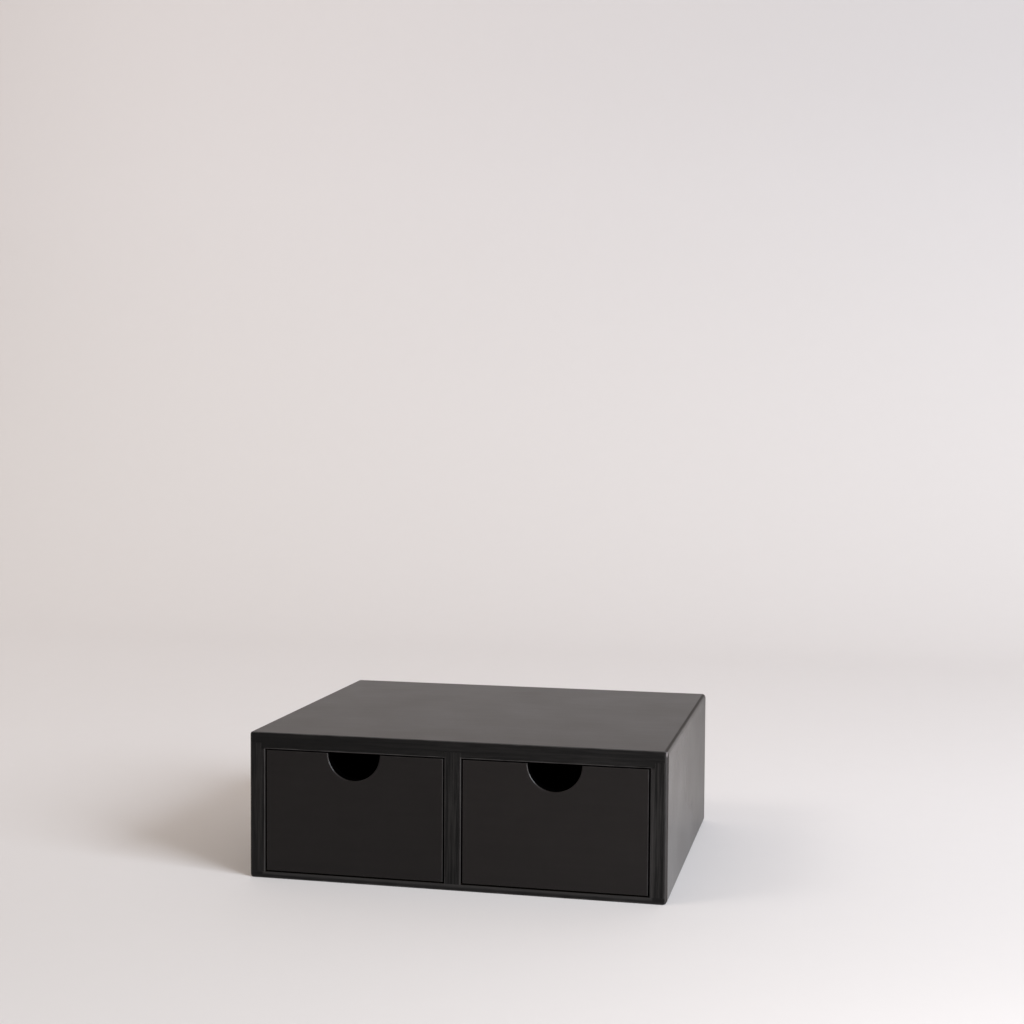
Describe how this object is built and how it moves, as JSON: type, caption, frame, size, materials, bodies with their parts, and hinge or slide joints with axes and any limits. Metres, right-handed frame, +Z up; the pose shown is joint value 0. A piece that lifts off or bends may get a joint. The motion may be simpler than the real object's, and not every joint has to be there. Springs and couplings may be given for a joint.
{
  "type": "monitor stand with drawers",
  "caption": "Painted wooden box that raises a monitor, with side-by-side inset drawers opened by half-round finger notches.",
  "frame": {"origin": "centre of the footprint, on the surface that the stand rests on", "axes": "+Z up, the drawers open towards -Y, +X to the right of a person who faces the drawers"},
  "size_m": [0.3, 0.25, 0.105],
  "materials": {
    "carcass_board": "satin black paint over open wood grain",
    "drawer_front": "smooth satin black paint",
    "drawer_box": "thin matt black stain",
    "thin_panel": "matt black paint on thin plywood",
    "nail_steel": "plain steel with traces of black paint"
  },
  "bodies": {
    "carcass": {"back_nails": "nail_steel", "back_panel": "thin_panel", "bottom_nails": "nail_steel", "bottom_panel": "carcass_board", "center_divider": "carcass_board", "left_side_panel": "carcass_board", "right_side_panel": "carcass_board", "top_brads": "nail_steel", "top_panel": "carcass_board"},
    "left_drawer": {"left_drawer_back": "drawer_box", "left_drawer_bottom": "thin_panel", "left_drawer_bottom_nails": "nail_steel", "left_drawer_brads": "nail_steel", "left_drawer_front": "drawer_front", "left_drawer_left_side": "drawer_box", "left_drawer_right_side": "drawer_box"},
    "right_drawer": {"right_drawer_back": "drawer_box", "right_drawer_bottom": "thin_panel", "right_drawer_bottom_nails": "nail_steel", "right_drawer_brads": "nail_steel", "right_drawer_front": "drawer_front", "right_drawer_left_side": "drawer_box", "right_drawer_right_side": "drawer_box"}
  },
  "joints": [
    {"name": "left_drawer_slide", "type": "slide", "parent": "carcass", "child": "left_drawer", "axis": [0, -1, 0], "range_m": [0, 0.17]},
    {"name": "right_drawer_slide", "type": "slide", "parent": "carcass", "child": "right_drawer", "axis": [0, -1, 0], "range_m": [0, 0.17]}
  ]
}
